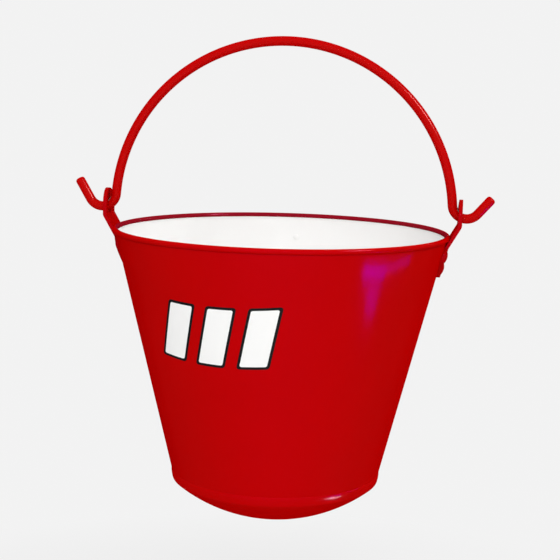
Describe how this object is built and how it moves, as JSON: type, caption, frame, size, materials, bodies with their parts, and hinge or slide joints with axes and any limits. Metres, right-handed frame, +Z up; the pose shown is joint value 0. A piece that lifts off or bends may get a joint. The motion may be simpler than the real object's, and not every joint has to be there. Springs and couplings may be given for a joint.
{
  "type": "fire bucket",
  "caption": "Round-bottomed tapered steel fire bucket with a wired rim, riveted ears and a rod bail with hooked ends, red outside and white inside, hung by its bail.",
  "frame": {"origin": "underside of the bail's rod at the top of its arch, where a hook carries the bucket", "axes": "+Z up, +X towards the right ear along the hinge line, -Y towards the front; the side seam is at +Y"},
  "size_m": [0.3556, 0.2836, 0.4085],
  "materials": {
    "body_enamel": "gloss red paint outside, gloss white inside",
    "fittings_enamel": "gloss red paint",
    "bail_enamel": "gloss red paint, a little rubbed on the bends",
    "bare_wire": "bare drawn steel, sealed inside the rolled rim"
  },
  "bodies": {
    "bail": {"bail": "bail_enamel"},
    "bucket": {"wall_sheet": "body_enamel", "rim_wire": "bare_wire", "bottom_pan": "body_enamel", "seam_rivets": "body_enamel", "ear_left": "fittings_enamel", "ear_right": "fittings_enamel", "ear_rivets_left": "fittings_enamel", "ear_rivets_right": "fittings_enamel"}
  },
  "joints": [
    {"name": "bail_pivot", "type": "hinge", "parent": "bail", "child": "bucket", "pos_m": [0, 0, -0.1375], "axis": [1, 0, 0], "range_deg": [-94.2, 94.2]}
  ]
}
